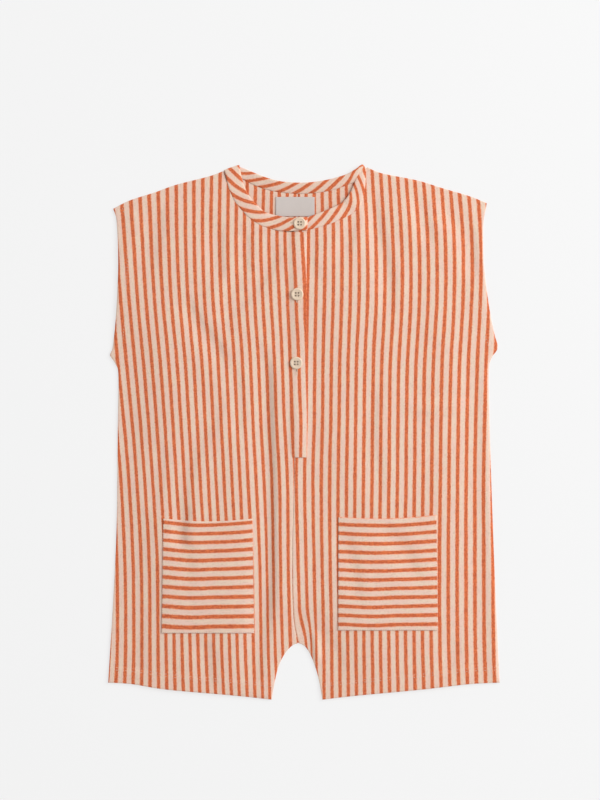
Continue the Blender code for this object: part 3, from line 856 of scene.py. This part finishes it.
def neck_edge(rows, towards):
    """A panel's edge at the neck, which the neckband's sewn edge laps over."""
    laps = []
    for row in rows:
        rise = abs(row.free_z - row.seam_z)
        width = hypot(row.free_x - row.seam_x, row.free_y - row.seam_y)
        laps.append(BAND_WALL / 2 * rise / hypot(rise, width) - NECK_LAP)
    return offset([(row.seam_x, row.seam_y) for row in rows], np.array(laps) * towards)


def panel_places(half, grid, neck, *centre):
    """The points of a panel between its hem, its side, its shoulder and neck, and its leg with
    the chains of its centre seam."""
    top = Path(half.shoulder, [half.shoulder[-1], *neck, centre[-1][-1]])
    inner = Path([*half.leg[:-1], centre[0][0]], *centre)
    u, v = (np.linspace(0, 1, count) for count in grid)
    return coons(Path(half.hem), top, Path(half.side), inner, u, v)


def build_front(half):
    """One front half, over its back and up to the centre-front seam."""
    name = f"front_{half.name}_panel"
    neck = neck_edge(NECKBAND[half.neck_rows], 1)[::-half.towards]
    centre = offset(CENTRE_FRONT, half.towards * SEAM_GAP / 2)
    places = panel_places(half, FRONT_GRID, neck, centre[:PLACKET_FOOT_ROW + 1],
                          centre[PLACKET_FOOT_ROW:])
    wall = CLOTH + (TURNED_CLOTH - CLOTH) * turned(*away_from_edges(places))
    grain = upright_grain(half.stripes, places, before_pulls(name, places))
    front = shell(name, on_front(places, 0), wall, grain, FRONT_JERSEY)


def build_back(half):
    """One back half, flat on the ground, its inside showing in the neck opening."""
    neck = neck_edge(NECKBAND[BACK_NECK_ROWS], -1)
    seam_x = CENTRE_BACK_X + half.towards * SEAM_GAP / 2
    centre = [(seam_x, CROTCH[1]), (seam_x, neck[CENTRE_BACK_ROW][1])]
    own = [point for point in neck
           if (point[0] - CENTRE_BACK_X) * half.towards > CENTRE_CLEAR]
    own.sort(key=lambda point: -abs(point[0]))
    places = panel_places(half, BACK_GRID, own, centre)
    wall = CLOTH + BACK_TURN_IN * turned(*away_from_edges(places))
    shifted = places + (half.towards * BACK_STRIPE_SHIFT, 0)
    back = shell(f"back_{half.name}_panel", raised(places, GROUND + wall), wall,
                 upright_grain(half.stripes, places, shifted), INSIDE_JERSEY)


# ==== the neckband

# One section of the doubled strip, from its sewn edge round the fold and back: the share of
# its width, and the height over its middle as a share of half its wall.
BAND_SECTION = [
    (0, 0.55), (0.06, 0.8), (0.16, 0.98), (0.34, 1.12), (0.55, 1.16), (0.75, 1.1),
    (0.9, 0.98), (0.97, 0.7), (1, 0), (0.97, -0.7), (0.9, -0.98), (0.75, -1.02),
    (0.5, -1.04), (0.25, -1), (0.08, -0.8), (0, -0.55),
]


def build_neckband():
    """The doubled bias strip round the neck, swept through its sections."""
    rows = Path([row[1:] for row in NECKBAND]).points
    seam, free, sewn = rows[:, :3], rows[:, 3:6], rows[:, 6]
    relief = sewn * (front_top(seam[:, :2]) - BAND_LEVEL)
    seam[:, 2] += relief
    free[:, 2] += relief
    middle = (seam + free) / 2
    along = np.gradient(middle, axis=0)
    across = free - seam
    width = np.linalg.norm(across, axis=1)
    normal = np.cross(along, across)
    normal /= np.linalg.norm(normal, axis=1)[:, None]
    steps = np.linalg.norm(np.diff(middle, axis=0), axis=1)
    run = np.concatenate([[0], np.cumsum(steps)])
    shares, heights = np.array(BAND_SECTION).T
    folded = np.argmax(shares)
    points = (seam[:, None] + across[:, None] * shares[None, :, None]
              + normal[:, None] * heights[None, :, None] * BAND_WALL / 2)
    points[0], points[-1] = squeezed(points[0]), squeezed(points[-1])
    opened = np.where(np.arange(len(shares)) <= folded, shares, 2 - shares)
    unfolded = opened[None] * width[:, None]
    number = (unfolded * cos(BIAS_ANGLE) - run[:, None] * sin(BIAS_ANGLE)) / STRIPE_PITCH
    lengthwise = unfolded * sin(BIAS_ANGLE) + run[:, None] * cos(BIAS_ANGLE)
    grain = np.stack([number, lengthwise], axis=2).reshape(-1, 2)
    band = piece("neckband", points.reshape(-1, 3), tube_faces(*number.shape), BIAS_JERSEY,
                 grain)
    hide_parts("neckband")


BAND_END_SQUEEZE = (0.97, 0.97, 0.5)


def squeezed(section):
    """An end section of the band, pressed flat by its stitching."""
    centre = section.mean(axis=0)
    return centre + (section - centre) * BAND_END_SQUEEZE


# ==== what lies on the front


def placket_top(places):
    return front_top(places) + PLACKET_LIFT + PLACKET_WALL


def build_placket():
    """The over band: its free edge stands clear, its sewn edge runs out flush on the front."""
    edges = Path(PLACKET_EDGES).points
    columns, rows = PLACKET_GRID
    y = np.linspace(edges[0, 0], edges[-1, 0], rows)
    right, left = (np.interp(y, edges[:, 0], edges[:, side]) for side in (1, 2))
    right = right - PLACKET_LAP
    u = np.linspace(0, 1, columns)
    x = right[:, None] + (left - right)[:, None] * u
    places = np.stack([x, np.repeat(y[:, None], columns, axis=1)], axis=2)
    thick = 1 - SEWN_THIN * (1 - smooth_step(u / SEWN_REACH))
    thick = thick - FREE_THIN * smooth_step((u - 1) / FREE_REACH + 1)
    full = np.broadcast_to(thick, x.shape)
    placket = shell("placket_over", on_front(places, (PLACKET_LIFT + PLACKET_WALL) * full),
                    PLACKET_WALL * full, upright_grain(PLACKET_STRIPES, places, places),
                    FRONT_JERSEY)


def grid_shares(grid):
    """The shares of a sheet's width and height at the points of its grid."""
    return np.meshgrid(*(np.linspace(0, 1, count) for count in grid))


def between(ends, share):
    return ends[0] + share * (ends[1] - ends[0])


def build_pocket(pocket):
    u, v = grid_shares(POCKET_GRID)
    foot_x = between((pocket.foot_right_x, pocket.foot_left_x), u)
    top_x = between((pocket.right_x, pocket.left_x), u)
    top_y = pocket.top_y - pocket.sag * np.sin(pi * u) + pocket.tilt * (u - TILT_MIDDLE)
    x, y = between((foot_x, top_x), v), between((pocket.foot_y, top_y), v)
    height = pocket.top_y - pocket.foot_y
    below_top = (1 - v) * height
    from_side = np.minimum(u, 1 - u) * (pocket.left_x - pocket.right_x)
    from_foot = height - below_top
    puff = POCKET_PUFF * smooth_step(from_side / POCKET_PUFF_REACH)
    puff = puff * smooth_step(from_foot / POCKET_PUFF_REACH)
    hem = POCKET_HEM_STEP * smooth_step((POCKET_HEM_DEPTH - below_top) / POCKET_HEM_RAMP)
    top = on_front(np.stack([x, y], axis=2), POCKET_LIFT + POCKET_WALL + puff + hem)
    dip = between((pocket.dip_foot, pocket.dip_top), v) * bell((u - pocket.dip_at) / DIP_REACH)
    below_first = below_top - pocket.first - dip
    number = 2 * below_first / (pocket.pitch + np.sqrt(
        pocket.pitch ** 2 + 4 * pocket.spread * below_first))
    made = shell(pocket.name, top, POCKET_WALL + hem, np.stack([number, x], axis=2),
                 FRONT_JERSEY)


def build_label():
    u, v = grid_shares(LABEL_GRID)
    x, y = between(LABEL_X, u), between(LABEL_Y, v)
    ripple = 1 - LABEL_RIPPLE * (1 - np.cos(2 * pi * u))
    bulge = LABEL_BULGE * np.sin(pi * v) * ripple
    height = GROUND + CLOTH + LABEL_WALL + LABEL_LIFT + bulge + LABEL_FOOT_LIFT * (1 - v)
    made = shell("label", np.stack([x, y, height], axis=2), np.full(x.shape, LABEL_WALL),
                 np.stack([x, y], axis=2), LABEL_SATIN)


# ==== buttons

# Half of a button's outline: radius and height.
BUTTON_PROFILE = [
    (0, 0), (5, 0), (5.8, 0.15), (6.15, 0.45), (6.25, 0.8), (6.1, 1.2), (5.7, 1.5),
    (5.2, 1.62), (4.7, 1.58), (4.2, 1.42), (3.7, 1.28), (3.2, 1.2), (0, 1.18),
]
BUTTON_TURNS = 48


def finished(name, shape):
    """A new object of a shape that is built up, which is then let go."""
    mesh = bpy.data.meshes.new(name)
    shape.to_mesh(mesh)
    shape.free()
    return link(name, mesh)


def turned_solid(name, profile, steps):
    """An object made by turning a profile of (radius, height) in metres round the z axis."""
    shape = bmesh.new()
    points = [shape.verts.new((radius, 0, height)) for radius, height in profile]
    lines = [shape.edges.new(pair) for pair in zip(points, points[1:])]
    bmesh.ops.spin(shape, geom=points + lines, axis=(0, 0, 1), cent=(0, 0, 0), angle=2 * pi,
                   steps=steps, use_merge=True, use_duplicate=False)
    bmesh.ops.remove_doubles(shape, verts=shape.verts, dist=0.00001)
    bmesh.ops.recalc_face_normals(shape, faces=shape.faces)
    return finished(name, shape)


DRILL_TURNS = 20
DRILL_LENGTH = 12.0


def drill(disc):
    """Cuts the four sewing holes."""
    shape = bmesh.new()
    for quarter in range(4):
        angle = pi / 4 + quarter * pi / 2
        across = Vector((cos(angle), sin(angle), 0)) * BUTTON_HOLE_OFFSET * MM * 2 ** 0.5
        pin = bmesh.ops.create_cone(shape, cap_ends=True, segments=DRILL_TURNS,
                                    radius1=BUTTON_HOLE_RADIUS * MM,
                                    radius2=BUTTON_HOLE_RADIUS * MM, depth=DRILL_LENGTH * MM)
        bmesh.ops.translate(shape, verts=pin["verts"], vec=across)
    pins = finished("drill", shape)
    cut = disc.modifiers.new("holes", "BOOLEAN")
    cut.object = pins
    cut.solver = "EXACT"
    bpy.context.view_layer.update()
    drilled = bpy.data.meshes.new_from_object(
        disc.evaluated_get(bpy.context.evaluated_depsgraph_get()))
    disc.modifiers.clear()
    disc.data = drilled
    bpy.data.objects.remove(pins)


THREAD_SECTIONS = 9

# The threads of a button: the pale ones over it, and thick ones under it whose dark brown is
# painted shade, seen through the sewing holes. For each: how high over its underside, how far they
# arch, half of the gap in a pair, how thick they are and how far they reach.
SEWINGS = [
    Sewing("thread", 0.7, 0.62, 0.1, 0.09, BUTTON_HOLE_OFFSET, SEWING_THREAD),
    # a shank of thread under the button; its dark brown is painted shade in the sewing holes
    Sewing("shank_in_painted_shade", 0.35, 0.0, 0.3, 0.45, BUTTON_HOLE_OFFSET + BUTTON_HOLE_RADIUS,
           PAINTED_SHADE_THREAD),
]


def build_threads(button_name, seat, sewing):
    """Two pairs of threads that arch from hole to hole."""
    along = np.repeat(np.linspace(0, 1, THREAD_SECTIONS), len(THREAD_TURNS))
    turns = np.tile(THREAD_TURNS, THREAD_SECTIONS)
    bar = np.column_stack([
        sewing.reach * (2 * along - 1),
        sewing.strand * np.cos(turns),
        sewing.level + sewing.rise * np.sin(pi * along) + sewing.strand * np.sin(turns),
    ])
    bars = [bar + seat + (0, side * BUTTON_HOLE_OFFSET + shift, 0)
            for side in (-1, 1) for shift in (-sewing.apart, sewing.apart)]
    one = tube_faces(THREAD_SECTIONS, len(THREAD_TURNS), capped=False)
    piece(f"{button_name}_{sewing.name}", np.concatenate(bars),
          copied(one, len(bar), len(bars)), sewing.material)


def button_seat(button, middle):
    """Height of the cloth under a button: the neckband's over end, or the placket."""
    if button.name == "button_1":
        return front_top(middle) - BAND_LEVEL + NECKBAND[-1].free_z + BAND_TOP * BAND_WALL
    return placket_top(middle)


SHARP_ANGLE = 0.7  # in radians


def build_button(button):
    low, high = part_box(button.name)
    profile = [(radius * MM, height * MM) for radius, height in BUTTON_PROFILE]
    disc = turned_solid(button.name, profile, BUTTON_TURNS)
    drill(disc)
    disc.data.materials.clear()
    disc.data.materials.append(BUTTON_RESIN)
    disc.data.shade_smooth()
    disc.data.set_sharp_from_angle(angle=SHARP_ANGLE)
    middle = np.array([(low.x + high.x) / 2, (low.y + high.y) / 2])
    disc.location = (*middle, (button_seat(button, middle / MM) - BUTTON_SINK) * MM)
    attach(disc, BODY)
    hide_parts(button.name)
    for sewing in SEWINGS:
        build_threads(button.name, np.array(disc.location) / MM, sewing)


# ==== stitching

HEM_STITCH_ROWS = (0.5, 3.0)  # from the hem's inner edge
POCKET_STITCH_IN = 0.6  # from a pocket's edge
POCKET_STITCH_SINK = 0.12


def build_stitching():
    for half in HALVES:
        rows = [offset(half.hem, half.towards * (HEM_DEPTH - lift)) for lift in HEM_STITCH_ROWS]
        stitches(f"hem_stitches_{half.name}", rows, front_top)
    for half in HALVES:
        row = offset(half.side[UNDERARM_ROW:], -half.towards * ARMHOLE_DEPTH)
        stitches(f"armhole_stitches_{half.name}", [row], front_top)
    for pocket in POCKETS:
        build_pocket_stitches(pocket)
    for button in BUTTONS:
        build_buttonhole(button)


def build_pocket_stitches(pocket):
    """Short stitches down both sides and along the foot, in a dark grey thread: real stitching
    whose darkness also paints the shadow line along the pocket's edges.
    """
    def top(places):
        return front_top(places) + POCKET_LIFT + POCKET_WALL - POCKET_STITCH_SINK

    foot_y = pocket.foot_y + POCKET_STITCH_IN
    foot_right = (pocket.foot_right_x + POCKET_STITCH_IN, foot_y)
    foot_left = (pocket.foot_left_x - POCKET_STITCH_IN, foot_y)
    rows = [
        [(pocket.right_x + POCKET_STITCH_IN, pocket.top_y - 1), foot_right],
        [foot_right, foot_left],
        [foot_left, (pocket.left_x - POCKET_STITCH_IN, pocket.top_y)],
    ]
    stitches(pocket.name + "_stitches", rows, top, length=1.2, pitch=2.3, width=0.5,
             material=STITCH_AND_SHADOW_THREAD)


def build_buttonhole(button):
    """Close stitches over both lips of a hole and across its ends, and the slit: a dark brown
    strip of painted shade where the hole opens.
    """
    way = np.array([cos(button.hole_turn), sin(button.hole_turn)])
    aside = np.array([-way[1], way[0]])
    centre = np.array([button.hole_x, button.hole_y])
    rows = []
    for along in np.arange(-HOLE_LENGTH / 2, (HOLE_LENGTH + LIP_PITCH) / 2, LIP_PITCH):
        for lip in (-1, 1):
            near = centre + way * along + aside * lip * LIP_GAP
            rows.append([near, near + aside * lip * LIP_WIDTH])
    for end in (-1, 1):
        for step in (0.0, LIP_PITCH):
            across = centre + end * way * (HOLE_LENGTH / 2 + HOLE_END + step)
            rows.append([across - aside * HOLE_END_WIDTH, across + aside * HOLE_END_WIDTH])
    seat = button_seat(button, centre)

    def top(places):
        if button.name == "button_1":
            return np.full(len(places), seat)
        return placket_top(places)

    stitches(button.name + "_hole", rows, top, length=1.1, pitch=1.0, width=0.5, height=0.22)
    # the slit is a flat strip whose dark colour is painted shade of the open buttonhole
    slit = [centre - way * HOLE_LENGTH / 2, centre + way * HOLE_LENGTH / 2]
    stitches(button.name + "_slit", [slit], top, length=HOLE_LENGTH, pitch=HOLE_LENGTH - 0.1,
             width=0.7, height=0.12, material=PAINTED_SHADE_THREAD)


# ==== stage

# Half of the floor's outline, in metres: flat, then turned up into a low backdrop all round.
STAGE_PROFILE = [
    (0, 0), (3, 0), (6, 0), (6.7, 0.04), (7.3, 0.18), (7.8, 0.5), (8.1, 1),
    (8.2, 1.7), (8.2, 2.6),
]
STAGE_TURNS = 96


def build_stage():
    floor = turned_solid("floor", STAGE_PROFILE, STAGE_TURNS)
    floor.data.materials.append(floor_paper())
    floor.data.shade_smooth()


KEY_PLACE = (2.6, 1.25, 2.0)  # metres, off the image's upper right
KEY_POWER = 122.0  # watts
KEY_SIZE = 2.4  # metres across
WORLD_STRENGTH = 0.48


def build_light():
    world = bpy.data.worlds.new("studio")
    world.use_nodes = True
    background = world.node_tree.nodes["Background"]
    background.inputs["Color"].default_value = (1, 1, 1, 1)
    background.inputs["Strength"].default_value = WORLD_STRENGTH
    bpy.context.scene.world = world
    lamp = bpy.data.lights.new("key", "AREA")
    lamp.shape = "DISK"
    lamp.size = KEY_SIZE
    lamp.energy = KEY_POWER
    key = link("key", lamp)
    key.location = KEY_PLACE
    key.rotation_euler = Vector(KEY_PLACE).to_track_quat("Z", "Y").to_euler()
    bpy.context.scene.view_settings.view_transform = "Standard"


CAMERA_HEIGHT = 3.0  # metres over the cloth
CLOTH_LEVEL = 0.005  # metres, the height of that plane
VIEW_HEIGHT = 0.8  # metres of the cloth's plane over the picture's height
VIEW_CENTRE = (-4.0, 32.0)
SENSOR = 36.0


def build_camera():
    data = bpy.data.cameras.new("camera")
    data.sensor_width = SENSOR
    data.lens = SENSOR * CAMERA_HEIGHT / VIEW_HEIGHT
    camera = link("camera", data)
    camera.location = (VIEW_CENTRE[0] * MM, VIEW_CENTRE[1] * MM, CAMERA_HEIGHT + CLOTH_LEVEL)
    bpy.context.scene.camera = camera


for half in HALVES:
    build_back(half)
for half in HALVES:
    build_front(half)
build_neckband()
build_placket()
for pocket in POCKETS:
    build_pocket(pocket)
build_label()
for button in BUTTONS:
    build_button(button)
build_stitching()
build_stage()
build_light()
build_camera()
